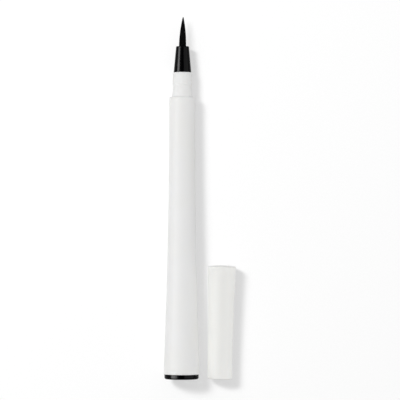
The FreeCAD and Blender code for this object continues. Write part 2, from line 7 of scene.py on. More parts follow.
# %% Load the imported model
import bpy
import json
import math
import numpy as np
from mathutils import Matrix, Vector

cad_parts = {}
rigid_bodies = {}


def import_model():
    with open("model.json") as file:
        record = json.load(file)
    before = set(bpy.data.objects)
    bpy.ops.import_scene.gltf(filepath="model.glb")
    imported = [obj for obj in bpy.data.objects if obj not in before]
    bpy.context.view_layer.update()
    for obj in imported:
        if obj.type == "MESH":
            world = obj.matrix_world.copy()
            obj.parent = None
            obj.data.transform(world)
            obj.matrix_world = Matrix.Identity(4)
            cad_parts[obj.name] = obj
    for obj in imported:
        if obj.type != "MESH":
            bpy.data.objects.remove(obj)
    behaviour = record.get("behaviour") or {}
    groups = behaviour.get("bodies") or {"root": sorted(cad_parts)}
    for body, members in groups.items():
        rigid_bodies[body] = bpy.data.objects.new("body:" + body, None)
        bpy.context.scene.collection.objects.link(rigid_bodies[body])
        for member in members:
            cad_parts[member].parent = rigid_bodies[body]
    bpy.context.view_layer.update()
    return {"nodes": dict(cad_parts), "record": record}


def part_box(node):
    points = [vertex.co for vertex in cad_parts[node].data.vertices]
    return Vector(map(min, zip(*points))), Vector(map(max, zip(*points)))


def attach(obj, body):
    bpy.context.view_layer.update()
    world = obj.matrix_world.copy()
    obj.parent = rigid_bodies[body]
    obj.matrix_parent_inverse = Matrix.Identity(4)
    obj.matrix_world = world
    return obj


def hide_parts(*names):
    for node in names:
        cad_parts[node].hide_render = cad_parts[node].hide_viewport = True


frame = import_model()
nodes = frame["nodes"]
print("pieces in the packed model:", ", ".join(sorted(nodes)))

# %% [markdown]
# ## Sizes that the eye sees
# The drawing of the pen gives a few driving sizes, in millimetres, and the rest follows from them.
# Heights are counted along the pen from its tail face, and along the cap from its mouth. The
# radii of grip, neck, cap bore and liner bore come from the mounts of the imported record.

# %% Sizes of the pen, in millimetres
MM = 0.001
mounts = {mount["name"]: mount for mount in frame["record"]["mounts"]}
GRIP_RADIUS = mounts["barrel_grip"]["dims"]["r_mm"]
GRIP_LENGTH = mounts["barrel_grip"]["dims"]["length_mm"]
NECK_RADIUS = mounts["neck"]["dims"]["r_mm"]
FIT = 0.02
PLUG_HEAD = 1.65
TAIL_TAPER = 15.2
TAIL_EDGE = 0.3
TAPER = math.radians(1.9)
FLARE_LENGTH = 71.0
NOSE_LENGTH = 1.0
NOSE_DROP = 0.18
NECK_LENGTH = 8.8
NOZZLE_LENGTH = 9.2
NOZZLE_LIP = 4.5
BRUSH_REACH = 10.35
flare_start = PLUG_HEAD + TAIL_EDGE + TAIL_TAPER
grip_start = flare_start + FLARE_LENGTH
nose_start = grip_start + GRIP_LENGTH
shoulder = nose_start + NOSE_LENGTH
neck_end = shoulder + NECK_LENGTH
nozzle_end = neck_end + NOZZLE_LENGTH
brush_tip = nozzle_end + BRUSH_REACH
flare_radius = GRIP_RADIUS + FLARE_LENGTH * math.tan(TAPER / 2)
taper_start = PLUG_HEAD + TAIL_EDGE * (1 + math.sin(TAPER))
tail_radius = flare_radius + (flare_start - taper_start) * math.tan(TAPER)
print(f"shoulder at {shoulder:.1f} mm, brush tip at {brush_tip:.1f} mm")
print(f"widest radius {tail_radius:.3f} mm, grip radius {GRIP_RADIUS} mm")

# %% [markdown]
# ## Where pen and cap lie
# Nearly every piece of a pen is round, so a piece is drawn upright about its own axis and then
# laid down. One axis starts at the middle of the tail face, and the other at the mouth of the cap,
# which lies a known way out along the bore that the record states.

# %% Axes of the pen and the cap
BEAD_END = 4.2
LINER_START = 0.7
SEAT_LEAD = 0.6
liner_lip = NECK_LENGTH + LINER_START
seat_start = liner_lip - SEAT_LEAD


def turned_place(start, along):
    """A start point and three right-handed directions: across, up, and along the axis."""
    along = np.array(along) / np.linalg.norm(along)
    across = np.cross((0, 0, 1), along)
    across = across / np.linalg.norm(across)
    return np.array(start), across, np.cross(along, across), along


def to_frame(place, across, up, along):
    """Points given in a piece's own directions, in millimetres, in the frame."""
    start, across_way, up_way, along_way = place
    return start + MM * (
        across[..., None] * across_way + up[..., None] * up_way + along[..., None] * along_way)


cap_out = np.array(mounts["cap_bore"]["axis"])
cap_mouth = np.array(mounts["cap_bore"]["pos_m"]) + cap_out * (BEAD_END + seat_start) / 2 * MM
pen_place = turned_place(mounts["tail_face"]["pos_m"], -np.array(mounts["tail_face"]["axis"]))
cap_place = turned_place(cap_mouth, -cap_out)
print("pen leans", round(math.degrees(math.asin(pen_place[3][2])), 2), "degrees")
print("mouth of the cap at", np.round(cap_mouth / MM, 2), "mm")

# %% [markdown]
# ## Colours and nodes
# Colours are written as the hex values that a paint program shows. A shader works with linear
# light, so one function converts them. A second function adds a node, sets its values and joins
# its inputs, which keeps each finish short enough to read.

# %% Colour and node helpers
def linear(hex_colour):
    """Linear red, green, blue and a full alpha from an sRGB hex value such as #f0f0ef."""
    parts = [int(hex_colour[place:place + 2], 16) / 255 for place in (1, 3, 5)]
    return tuple(
        part / 12.92 if part <= 0.04045 else ((part + 0.055) / 1.055) ** 2.4 for part in parts
    ) + (1.0,)


def add_node(tree, kind, settings=None, links=None):
    """Add a node, give its properties or inputs their values and join its inputs to outputs."""
    node = tree.nodes.new(kind)
    for name, value in (settings or {}).items():
        if isinstance(name, str) and hasattr(node, name):
            setattr(node, name, value)
        else:
            node.inputs[name].default_value = value
    for name, output in (links or {}).items():
        tree.links.new(output, node.inputs[name])
    return node


def new_finish(name, settings):
    """An empty material with one Principled surface, and the tree that its pattern goes into."""
    finish = bpy.data.materials.new(name)
    finish.use_nodes = True
    tree = finish.node_tree
    tree.nodes.clear()
    surface = add_node(tree, "ShaderNodeBsdfPrincipled", settings)
    add_node(tree, "ShaderNodeOutputMaterial", links={"Surface": surface.outputs["BSDF"]})
    return finish, tree, surface


print("white plastic in linear light:", np.round(linear("#f0f0ef")[:3], 3))

# %% Pattern helpers
PATTERN_START = 0.3
PATTERN_END = 0.7


def noise(tree, size_mm, detail=2.0, stretch=(1, 1, 1)):
    """Soft lumps of about this size, drawn out along each axis by the stretch."""
    place = add_node(tree, "ShaderNodeTexCoord")
    spread = add_node(
        tree, "ShaderNodeMapping", {"Scale": tuple(1 / part for part in stretch)},
        {"Vector": place.outputs["Object"]})
    return add_node(
        tree, "ShaderNodeTexNoise", {"Scale": 1 / (size_mm * MM), "Detail": detail},
        {"Vector": spread.outputs["Vector"]}).outputs["Fac"]


def between(tree, factor, low, high, start=PATTERN_START, end=PATTERN_END):
    """A number that goes from low to high as the factor goes from start to end."""
    return add_node(
        tree, "ShaderNodeMapRange",
        {"From Min": start, "From Max": end, "To Min": low, "To Max": high},
        {"Value": factor}).outputs["Result"]


def two_colours(tree, factor, first, second):
    """A colour that goes from the first hex value to the second with the factor."""
    ramp = add_node(tree, "ShaderNodeValToRGB", links={"Fac": factor})
    low, high = ramp.color_ramp.elements
    low.color = linear(first)
    low.position = PATTERN_START
    high.color = linear(second)
    high.position = PATTERN_END
    return ramp.outputs["Color"]


def relief(tree, surface, layers):
    """Bumps on the surface, one layer on the other: each is (height output, depth in mm)."""
    normal = None
    for height, depth_mm in layers:
        links = {"Height": height, "Normal": normal} if normal else {"Height": height}
        bump = add_node(tree, "ShaderNodeBump", {"Distance": depth_mm * MM}, links)
        normal = bump.outputs["Normal"]
    tree.links.new(normal, surface.inputs["Normal"])


print("a noise of 1 mm has the scale", round(1 / MM))

# %% [markdown]
# ## White plastic
# Barrel and cap are injection-moulded polypropylene and the neck is ABS, all pigmented white and
# made in moulds with a fine satin face. The resin lets a little light in under its skin, so its
# shade side stays soft and never turns grey. The mould leaves a skin like orange peel a third of a
# millimetre across, and faint draw marks along the axis where the piece slid out of it, drawn
# coarser than real ones so that they can show. Handling adds patches that are slightly smoother
# than the rest. The three white pieces come from different moulds and batches, so one function
# makes all three and takes their tint, their roughness and their glow.

# %% White finishes
PEEL_MM = 0.34
PEEL_DEPTH = 0.0022
DRAW_MARK_MM = 0.16
DRAW_MARK_DEPTH = 0.0006
DRAW_STRETCH = (1, 60, 1)
HANDLED_MM = 5.0
TINT_MM = 14.0


def moulded_white(name, light, dark, roughness, glow_weight, glow_mm):
    """Pigmented white resin with a satin skin between two roughness values.

    The weight and the depth in millimetres say how much light travels under the skin."""
    finish, tree, surface = new_finish(name, {
        "IOR": 1.49,
        "Specular IOR Level": 0.2,
        "Subsurface Weight": glow_weight,
        "Subsurface Radius": (1.0, 0.95, 0.9),
        "Subsurface Scale": glow_mm * MM,
    })
    tint = noise(tree, TINT_MM)
    handled = noise(tree, HANDLED_MM, detail=4.0)
    tree.links.new(two_colours(tree, tint, light, dark), surface.inputs["Base Color"])
    tree.links.new(between(tree, handled, *roughness), surface.inputs["Roughness"])
    relief(tree, surface, (
        (noise(tree, PEEL_MM), PEEL_DEPTH),
        (noise(tree, DRAW_MARK_MM, stretch=DRAW_STRETCH), DRAW_MARK_DEPTH),
    ))
    return finish


barrel_white = moulded_white(
    "satin_white_polypropylene_barrel", "#f0f0f0", "#efefed",
    roughness=(0.36, 0.40), glow_weight=0.25, glow_mm=0.9)
neck_white = moulded_white(
    "satin_white_abs_neck", "#f0f0ef", "#eeeeed",
    roughness=(0.48, 0.54), glow_weight=0.25, glow_mm=0.9)
cap_white = moulded_white(
    "satin_white_polypropylene_cap", "#f6f6f3", "#f4f4f1",
    roughness=(0.40, 0.45), glow_weight=0.35, glow_mm=0.8)
print("white finishes:", barrel_white.name, neck_white.name, cap_white.name)

# %% [markdown]
# ## Black ABS
# The cone in front and the plug at the tail are ABS, coloured through and moulded against a
# polished steel face. They mirror the studio softly: one bright band on the left, a faint broad
# one on the right, and nearly nothing between. ABS mirrors more than the low level here, but then
# the white room would grey the whole piece, so the level is low and the strip lamp strong. A
# little dust and fine flow ripples keep the bands from looking drawn.

# %% Black finish
RIPPLE_MM = 0.5
RIPPLE_DEPTH = 0.0012
RIPPLE_ROUGHNESS = (0.14, 0.19)
DUST_MM = 0.08
DUST_START = 0.66
DUST_END = 0.78


def polished_black_abs():
    """Polished black resin with fine ripples and a trace of dust."""
    finish, tree, surface = new_finish(
        "polished_black_abs", {"IOR": 1.3, "Specular IOR Level": 0.07})
    dust = between(tree, noise(tree, DUST_MM, detail=3.0), 0.0, 1.0, DUST_START, DUST_END)
    tree.links.new(two_colours(tree, dust, "#020203", "#0a0a0b"), surface.inputs["Base Color"])
    ripple = noise(tree, RIPPLE_MM)
    tree.links.new(between(tree, ripple, *RIPPLE_ROUGHNESS), surface.inputs["Roughness"])
    relief(tree, surface, ((ripple, RIPPLE_DEPTH),))
    return finish


black_abs = polished_black_abs()
print("black finish:", black_abs.name)

# %% [markdown]
# ## Inked filaments
# The brush is a bundle of tapered nylon filaments, black from the ink that they hold. Wet
# filaments cling together, and each catches a thin streak of light along its length. Every
# filament carries its own tone as an attribute, so the streaks differ a little.

# %% Filament finish
FILAMENT_ROUGHNESS = (0.30, 0.46)


def inked_nylon():
    """Nylon wet with black ink, each filament in a slightly different tone."""
    finish, tree, surface = new_finish(
        "inked_nylon_filaments", {"IOR": 1.4, "Specular IOR Level": 0.04})
    tone = add_node(tree, "ShaderNodeAttribute", {"attribute_name": "tone"}).outputs["Fac"]
    tree.links.new(two_colours(tree, tone, "#030303", "#0a0a0b"), surface.inputs["Base Color"])
    roughness = between(tree, tone, *FILAMENT_ROUGHNESS, start=0.0, end=1.0)
    tree.links.new(roughness, surface.inputs["Roughness"])
    return finish


inked = inked_nylon()
print("brush finish:", inked.name)

# %% [markdown]
# ## Finishes inside
# What lies inside is hidden while the pen is whole, but a reader who opens the model finds real
# materials there too: a bonded fibre rod dark with ink, its clear wrap, a wick, a disc of melted
# filament ends, and milky natural polyethylene for the wick's sleeve and the liner of the cap.

# %% Finishes of the hidden pieces
STRAND_MM = 0.12
STRAND_STRETCH = (1, 30, 1)
CLOUD_MM = 0.9
CLOUD_DEPTH = 0.003
CLOUD_ROUGHNESS = (0.42, 0.52)
LUMP_MM = 0.12
LUMP_DEPTH = 0.02
LUMP_ROUGHNESS = (0.25, 0.5)
CREASE_MM = 2.4
CREASE_STRETCH = (1, 6, 1)
CREASE_DEPTH = 0.01
CREASE_ROUGHNESS = (0.08, 0.18)


def inked_fibre(name, light, dark, depth_mm):
    """Fibres bonded side by side and soaked with ink."""
    finish, tree, surface = new_finish(name, {"IOR": 1.5, "Roughness": 0.85})
    strands = noise(tree, STRAND_MM, detail=3.0, stretch=STRAND_STRETCH)
    tree.links.new(two_colours(tree, strands, dark, light), surface.inputs["Base Color"])
    relief(tree, surface, ((strands, depth_mm),))
    return finish


def natural_polyethylene():
    """Unpigmented resin: milky, soft and slightly waxy."""
    finish, tree, surface = new_finish("natural_polyethylene", {
        "IOR": 1.51,
        "Subsurface Weight": 0.5,
        "Subsurface Radius": (1.0, 0.98, 0.92),
        "Subsurface Scale": 1.2 * MM,
    })
    cloud = noise(tree, CLOUD_MM, detail=3.0)
    tree.links.new(two_colours(tree, cloud, "#e6e6df", "#deded6"), surface.inputs["Base Color"])
    tree.links.new(between(tree, cloud, *CLOUD_ROUGHNESS), surface.inputs["Roughness"])
    relief(tree, surface, ((cloud, CLOUD_DEPTH),))
    return finish


def fused_nylon():
    """Filament ends melted into one glassy, lumpy disc."""
    finish, tree, surface = new_finish("fused_nylon", {"IOR": 1.53})
    lumps = noise(tree, LUMP_MM)
    tree.links.new(two_colours(tree, lumps, "#1b1b1c", "#2c2c2d"), surface.inputs["Base Color"])
    tree.links.new(between(tree, lumps, *LUMP_ROUGHNESS), surface.inputs["Roughness"])
    relief(tree, surface, ((lumps, LUMP_DEPTH),))
    return finish


def clear_film():
    """Thin clear polypropylene wrapped tightly round the fibre."""
    finish, tree, surface = new_finish(
        "clear_polypropylene_film", {"IOR": 1.49, "Transmission Weight": 0.85})
    crease = noise(tree, CREASE_MM, stretch=CREASE_STRETCH)
    tree.links.new(two_colours(tree, crease, "#e4e8ea", "#d7dcdf"), surface.inputs["Base Color"])
    tree.links.new(between(tree, crease, *CREASE_ROUGHNESS), surface.inputs["Roughness"])
    relief(tree, surface, ((crease, CREASE_DEPTH),))
    return finish


polyethylene = natural_polyethylene()
inner_finishes = {
    "reservoir": inked_fibre("inked_polyester_fibre", "#2b2b2d", "#101011", depth_mm=0.03),
    "reservoir_film": clear_film(),
    "feed_wick": inked_fibre("inked_wick_fibre", "#1f1f20", "#0c0c0d", depth_mm=0.012),
    "brush_root": fused_nylon(),
    "wick_sleeve": polyethylene,
}
for node_name, finish in inner_finishes.items():
    slots = nodes[node_name].data.materials
    slots.clear()
    slots.append(finish)
print("inner pieces finished:", ", ".join(inner_finishes))

# %% [markdown]
# ## Drawing an outline
# A lathe needs one outline: half of the section, walked with the plastic on its left. The packed
# solids have hard corners, but a mould never does, so each corner is cut back a little and joined
# by a small curve. One more ring beside each curve keeps the long faces flat in the light. Long
# curved stretches come from a circle's formula.

# %% Outline helpers
CORNER_STEPS = np.linspace(0, 1, 6)
HOLD = 1.9
SAME_POINT = 1e-6


def soften(corners):
    """Outline points from corners (across, up, cut).

    A corner c with cut s becomes the curve (1-t)^2 a + 2t(1-t) c + t^2 b, where a and b lie s
    before and after it, with one more point on each side of the curve at HOLD times s. Points
    closer than SAME_POINT become one."""
    table = np.array(corners, float)
    corner = table[:, None, :2]
    cut = table[:, None, 2:]
    before = np.roll(corner, 1, axis=0) - corner
    after = np.roll(corner, -1, axis=0) - corner
    before = before / np.linalg.norm(before, axis=2, keepdims=True)
    after = after / np.linalg.norm(after, axis=2, keepdims=True)
    t = CORNER_STEPS[None, :, None]
    start = corner + cut * before
    finish = corner + cut * after
    curve = (1 - t) ** 2 * start + 2 * t * (1 - t) * corner + t ** 2 * finish
    held = [corner + HOLD * cut * before, curve, corner + HOLD * cut * after]
    points = np.concatenate(held, axis=1).reshape(-1, 2)
    moved = np.linalg.norm(points - np.roll(points, 1, axis=0), axis=1)
    return points[moved > SAME_POINT]


def swept(start, end, turn, count):
    """Corners along the arc from start to end that turns left through this angle.

    With a half turn h and t from -1 to 1, a point lies at the chord's middle plus
    sin(h t) / sin(h) of half the chord, and (cos(h t) - cos(h)) / sin(h) of it to the right."""
    start = np.array(start, float)
    end = np.array(end, float)
    half_chord = (end - start) / 2
    right = np.array((half_chord[1], -half_chord[0]))
    half_turn = turn / 2
    t = np.linspace(-1, 1, count)[:, None]
    forward = np.sin(half_turn * t) / math.sin(half_turn)
    aside = (np.cos(half_turn * t) - math.cos(half_turn)) / math.sin(half_turn)
    points = (start + end) / 2 + forward * half_chord + aside * right
    return [(across, up, 0.0) for across, up in points]


square = soften([(0, 0, 0.1), (1, 0, 0.1), (1, 1, 0.1), (0, 1, 0.1)])
print("a softened square has", len(square), "points")

# %% [markdown]
# ## The lathe
# The outline goes round the axis in equal steps, as one grid of points worked out at once. Where
# it starts and ends on the axis, a fan of triangles closes each end, and otherwise the last ring
# joins the first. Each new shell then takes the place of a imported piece, and the cell prints how
# far the boxes of the two differ, so a wrong size shows at once.

# %% Lathe
AROUND = 192
ON_AXIS = 1e-9


def grid_faces(rows, columns, wrap_rows):
    """Four-sided faces between neighbouring rows and columns, whose columns always close."""
    row = np.arange(rows if wrap_rows else rows - 1)[:, None]
    column = np.arange(columns)[None, :]
    next_row = (row + 1) % rows * columns
    next_column = (column + 1) % columns
    row = row * columns
    corners = (row + column, row + next_column, next_row + next_column, next_row + column)
    return np.stack(np.broadcast_arrays(*corners), axis=-1).reshape(-1, 4)


def make_piece(name, points, faces, finish, body, slot):
    """A smooth piece at the origin that rides on a body, from points in the frame and faces."""
    mesh = bpy.data.meshes.new(name)
    mesh.from_pydata(points.tolist(), [], faces)
    mesh.materials.append(finish)
    mesh.shade_smooth()
    piece = bpy.data.objects.new(name, mesh)
    bpy.context.scene.collection.objects.link(piece)
    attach(piece, body)
    return piece


def turned(name, outline, place, finish, body, slot):
    """Turn an outline about a piece's own axis.

    A point at radius r and height h goes to across r cos(a) + up r sin(a) + along h for each
    angle a. An outline that starts and ends on the axis gets one point there at each end."""
    closed = outline[0, 0] > ON_AXIS
    rings = outline if closed else outline[1:-1]
    angle = np.linspace(0, 2 * math.pi, AROUND, endpoint=False)
    radius, height = rings[:, :1], rings[:, 1:]
    points = to_frame(
        place, radius * np.cos(angle), radius * np.sin(angle), height + 0 * angle).reshape(-1, 3)
    faces = grid_faces(len(rings), AROUND, closed).tolist()
    if not closed:
        here = np.arange(AROUND)
        after = (here + 1) % AROUND
        first_end = np.full(AROUND, len(points))
        last_ring = (len(rings) - 1) * AROUND
        faces += np.stack([after, here, first_end], axis=1).tolist()
        faces += np.stack([last_ring + here, last_ring + after, first_end + 1], axis=1).tolist()
        zero = np.zeros(2)
        points = np.concatenate([points, to_frame(place, zero, zero, outline[[0, -1], 1])])
    return make_piece(name, points, faces, finish, body, slot)


def stand_for(piece, node_name):
    """Let a piece take the place of a packed one, and print how far their boxes differ."""
    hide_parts(node_name)
    low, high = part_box(node_name)
    points = np.array([point.co for point in piece.data.vertices])
    apart = max(np.abs(points.min(0) - low).max(), np.abs(points.max(0) - high).max())
    print(f"{piece.name}: {len(piece.data.polygons)} faces, box within {apart / MM:.3f} mm")


print("each ring has", AROUND, "points")

# %% [markdown]
# ## Barrel
# The barrel is one long moulding. Its grip is a straight cylinder, behind it the side swings out
# along a very flat arc, and the last stretch is a straight taper to the tail, the widest place.
# In front it ends in a short nose, slightly drawn in, with a flat shoulder. Inside it holds the
# neck's stem, the wrapped reservoir and the stem of the tail plug, with a shallow groove for each
# snap ring.

# %% Barrel
FINE = 0.04
SOFT = 0.08
BARREL_FRONT_BORE = 3.20
GRIP_STEP = 0.45
BORE_DRAFT = 0.15
FRONT_BORE_LENGTH = 10.5
TAIL_WALL = 1.20
PLUG_BORE_STEP = 0.15
PLUG_BORE_END = 9.5
SNAP_HEIGHT = 0.12
SNAP_HALF = 0.5
SNAP_SPARE = 0.05
COLLAR_SNAP_DEPTH = 5.0
PLUG_SNAP_DEPTH = 3.4
collar_snap = shoulder - COLLAR_SNAP_DEPTH
plug_snap = PLUG_HEAD + PLUG_SNAP_DEPTH
plug_bore = tail_radius - TAIL_WALL
plug_bore_front = plug_bore - PLUG_BORE_STEP
grip_bore = BARREL_FRONT_BORE + GRIP_STEP
bore_middle = flare_start + FLARE_LENGTH / 2


def snap_corners(radius, height, middle, half):
    """A low ring with a triangular section, in rising order."""
    return [(radius, middle - half, FINE), (radius + height, middle, FINE),
            (radius, middle + half, FINE)]


def barrel_outline():
    """Half section of the barrel, up the outside and down the bore."""
    front_bore_start = shoulder - FRONT_BORE_LENGTH
    groove_half = SNAP_HALF + SNAP_SPARE
    nose_radius = GRIP_RADIUS - NOSE_DROP
    nose_turn = 2 * math.atan(NOSE_DROP / NOSE_LENGTH)
    tail_edge = (tail_radius - TAIL_EDGE * math.cos(TAPER), PLUG_HEAD)
    return soften([
        *swept(tail_edge, (tail_radius, taper_start), math.pi / 2 + TAPER, count=10),
        *swept((flare_radius, flare_start), (GRIP_RADIUS, grip_start), -TAPER, count=48),
        *swept((GRIP_RADIUS, nose_start), (nose_radius, shoulder), nose_turn, count=16)[:-1],
        (nose_radius, shoulder, FINE),
        (BARREL_FRONT_BORE, shoulder, SOFT),
        *snap_corners(BARREL_FRONT_BORE, SNAP_HEIGHT, collar_snap, groove_half)[::-1],
        (BARREL_FRONT_BORE, front_bore_start, FINE),
        (grip_bore, front_bore_start, FINE),
        (grip_bore + BORE_DRAFT, bore_middle, 0),
        (plug_bore_front, PLUG_BORE_END, FINE),
        (plug_bore, PLUG_BORE_END, FINE),
        *snap_corners(plug_bore, SNAP_HEIGHT, plug_snap, groove_half)[::-1],
        (plug_bore, PLUG_HEAD, SOFT),
    ])


barrel = turned("barrel_shell", barrel_outline(), pen_place, barrel_white, "pen", "barrel_white")
stand_for(barrel, "barrel")

# %% [markdown]
# ## Ribs
# Six thin ribs inside the widening bore keep the slim reservoir in the middle. They are part of
# the barrel's moulding. Each is a long wedge whose outer face follows the bore.

# %% Ribs
RIB_COUNT = 6
RIB_RADIUS = 3.60
RIB_THICKNESS = 0.6
RIB_ROOT = 0.3


def rib_mesh():
    """Eight corners for each rib, turned evenly about the axis, and six faces between them.

    The corners of a rib differ by inner or outer face, near or far end, and left or right."""
    outer = np.array([plug_bore_front, grip_bore + BORE_DRAFT]) + RIB_ROOT
    radius = np.stack([np.full(2, RIB_RADIUS), outer])[:, :, None]
    height = np.array([PLUG_BORE_END, bore_middle])[None, :, None]
    aside = np.array([-0.5, 0.5])[None, None, :] * RIB_THICKNESS
    radius, height, aside = (part.ravel() for part in np.broadcast_arrays(radius, height, aside))
    angle = np.arange(RIB_COUNT)[:, None] * 2 * math.pi / RIB_COUNT
    across = radius * np.cos(angle) - aside * np.sin(angle)
    up = radius * np.sin(angle) + aside * np.cos(angle)
    points = to_frame(pen_place, across, up, height + 0 * angle).reshape(-1, 3)
    sides = np.array([
        (0, 2, 3, 1), (4, 5, 7, 6), (0, 1, 5, 4), (2, 6, 7, 3), (0, 4, 6, 2), (1, 3, 7, 5)])
    faces = (sides[None] + 8 * np.arange(RIB_COUNT)[:, None, None]).reshape(-1, 4)
    return points, faces.tolist()


ribs = make_piece("barrel_ribs", *rib_mesh(), barrel_white, "pen", "barrel_white")
ribs.data.shade_flat()
print("ribs:", RIB_COUNT)

# %% [markdown]
# ## Tail plug
# The plug is a black cup pressed into the tail. Only its low head shows, with a generous round
# at its outer edge and a tiny dimple in the middle, where the resin entered the mould. Its stem
# snaps into the barrel, and a pillar in the cup keeps the reservoir forward.

# %% Tail plug
PLUG_SETBACK = 0.22
PLUG_ROUND = 0.6
PLUG_STEM_LENGTH = 7.2
PLUG_STEM_WALL = 0.9
PLUG_CHAMFER = 0.35
PLUG_FLOOR = 1.2
CUP_ROUND = 0.2
PILLAR_RADIUS = 1.4
PILLAR_REACH = 0.5
GATE_RADIUS = 0.45
GATE_DEPTH = 0.06


def plug_outline():
    """Half section of the tail plug, from the middle of its face to the top of its pillar."""
    head = tail_radius - PLUG_SETBACK
    stem = plug_bore - FIT
    stem_end = PLUG_HEAD + PLUG_STEM_LENGTH
    hollow = stem - PLUG_STEM_WALL
    pillar_end = PLUG_BORE_END + PILLAR_REACH
    return soften([
        (0, GATE_DEPTH, 0),
        (GATE_RADIUS - GATE_DEPTH, GATE_DEPTH, FINE / 2),
        (GATE_RADIUS, 0, FINE / 2),
        *swept((head - PLUG_ROUND, 0), (head, PLUG_ROUND), math.pi / 2, count=12),
        (head, PLUG_HEAD, FINE),
        (stem, PLUG_HEAD, FINE),
        *snap_corners(stem, SNAP_HEIGHT, plug_snap, SNAP_HALF),
        (stem, stem_end - PLUG_CHAMFER, FINE),
        (stem - PLUG_CHAMFER, stem_end, FINE),
        (hollow, stem_end, FINE),
        (hollow, PLUG_FLOOR, CUP_ROUND),
        (PILLAR_RADIUS, PLUG_FLOOR, CUP_ROUND),
        (PILLAR_RADIUS, pillar_end, SOFT),
        (0, pillar_end, 0),
    ])


plug = turned("end_plug_body", plug_outline(), pen_place, black_abs, "pen", "gloss_black")
stand_for(plug, "end_plug")

# %% [markdown]
# ## Neck
# The cap slides over this white collar. It springs from the shoulder in a short flare, carries a
# bead too low to see that holds the cap, and ends in a small chamfer behind the black cone. Its
# hidden stem snaps into the barrel and presses on the reservoir.

# %% Neck
NECK_STEP = 0.16
NECK_FLARE = 0.37
NECK_FLARE_LENGTH = 3.0
NECK_CHAMFER = 0.25
BEAD_HEIGHT = 0.08
BEAD_HALF = 0.5
BEAD_PLACE = 4.7
COLLAR_REACH = 2.3
COLLAR_WALL = 0.74
NOZZLE_STEM = 8.0
STEM_SPARE = 0.4
ROOT_RADIUS = 1.80
SLEEVE_LEDGE = 0.5
collar_stem = NECK_RADIUS - NECK_STEP - FIT
collar_bore = collar_stem - COLLAR_WALL


def neck_outline():
    """Half section of the neck and its stem, up the outside and down the bore."""
    floor = neck_end - NOZZLE_STEM - STEM_SPARE
    air = ROOT_RADIUS - SLEEVE_LEDGE
    start = shoulder - FRONT_BORE_LENGTH - COLLAR_REACH
    flare_turn = -2 * math.atan(NECK_FLARE / NECK_FLARE_LENGTH)
    return soften([
        (air, start, SOFT),
        (collar_stem, start, SOFT),
        *snap_corners(collar_stem, SNAP_HEIGHT, collar_snap, SNAP_HALF),
        (collar_stem, shoulder, FINE),
        *swept((NECK_RADIUS + NECK_FLARE, shoulder),
               (NECK_RADIUS, shoulder + NECK_FLARE_LENGTH), flare_turn, count=16),
        *snap_corners(NECK_RADIUS, BEAD_HEIGHT, shoulder + BEAD_PLACE, BEAD_HALF),
        (NECK_RADIUS, neck_end - NECK_CHAMFER, FINE),
        (NECK_RADIUS - NECK_CHAMFER, neck_end, FINE),
        (collar_bore, neck_end, FINE),
        (collar_bore, floor, FINE),
        (air, floor, FINE),
    ])


neck = turned("neck_collar", neck_outline(), pen_place, neck_white, "pen", "neck_white")
stand_for(neck, "front_collar")

# %% [markdown]
# ## Nozzle
# The black cone grips the brush. Its foot nearly fills the neck's front edge, and its front face
# has a soft outer round and a crisp round mouth from which the brush springs.

# %% Nozzle
NOZZLE_SETBACK = 0.26
LIP_WALL = 1.03
LIP_ROUND = 0.3
BRUSH_RADIUS = 1.20
BRUSH_GAP = 0.04


def nozzle_outline():
    """Half section of the cone and its stem, up the outside and down the bore."""
    bore = ROOT_RADIUS + FIT
    stem = collar_bore - FIT
    stem_start = neck_end - NOZZLE_STEM
    lip_bore = BRUSH_RADIUS + BRUSH_GAP
    lip_start = nozzle_end - NOZZLE_LIP
    return soften([
        (bore, stem_start, FINE),
        (stem, stem_start, SOFT),
        (stem, neck_end, FINE),
        (NECK_RADIUS - NOZZLE_SETBACK, neck_end, FINE),
        (lip_bore + LIP_WALL, nozzle_end, LIP_ROUND),
        (lip_bore, nozzle_end, FINE),
        (lip_bore, lip_start, FINE),
        (bore, lip_start, FINE),
    ])


nozzle = turned("nozzle_cone", nozzle_outline(), pen_place, black_abs, "pen", "gloss_black")
stand_for(nozzle, "nozzle")

# %% [markdown]
# ## Brush core
# A brush of wet filaments looks nearly solid, but its outline is made of single hairs. A slim
# dark core fills the middle and holds the wick, and rings of filaments lie on it. The outline
# follows one circle from the mouth of the cone to the point, and the bundle leans to the right by
# one degree, since no brush is quite straight.

# %% Brush core
WICK_HOLE = 0.62
WICK_RISE = 4.2
WICK_POINT = 2.2
POINT_RADIUS = 0.13
CORE_SHARE = 0.86
CORE_STATIONS = 30
CORE_ROOT = 1.0
CORE_SIDE_SHORT = 0.5
CORE_TIP_SHORT = 0.45
BRUSH_LEAN = math.radians(1.0)


def brush_outline_radius(height):
    """Radius of the whole brush at heights above the tail face.

    In front of the cone it is r - (A - sqrt(A^2 - y^2)), a circle of radius A that leaves the
    cone along its axis and comes down to the point's radius at the tip."""
    drop = BRUSH_RADIUS - POINT_RADIUS
    arc = (BRUSH_REACH ** 2 + drop ** 2) / (2 * drop)
    ahead = np.clip(height - nozzle_end, 0, BRUSH_REACH)
    return BRUSH_RADIUS - (arc - np.sqrt(arc ** 2 - ahead ** 2))


def leaning_place():
    """The brush's own place, turned about the middle of the cone's mouth.

    Where the pen points along a and has the side direction s, the brush points along
    cos(lean) a - sin(lean) s."""
    start, side, _, along = pen_place
    mouth = start + nozzle_end * MM * along
    way = math.cos(BRUSH_LEAN) * along - math.sin(BRUSH_LEAN) * side
    return turned_place(mouth - nozzle_end * MM * way, way)


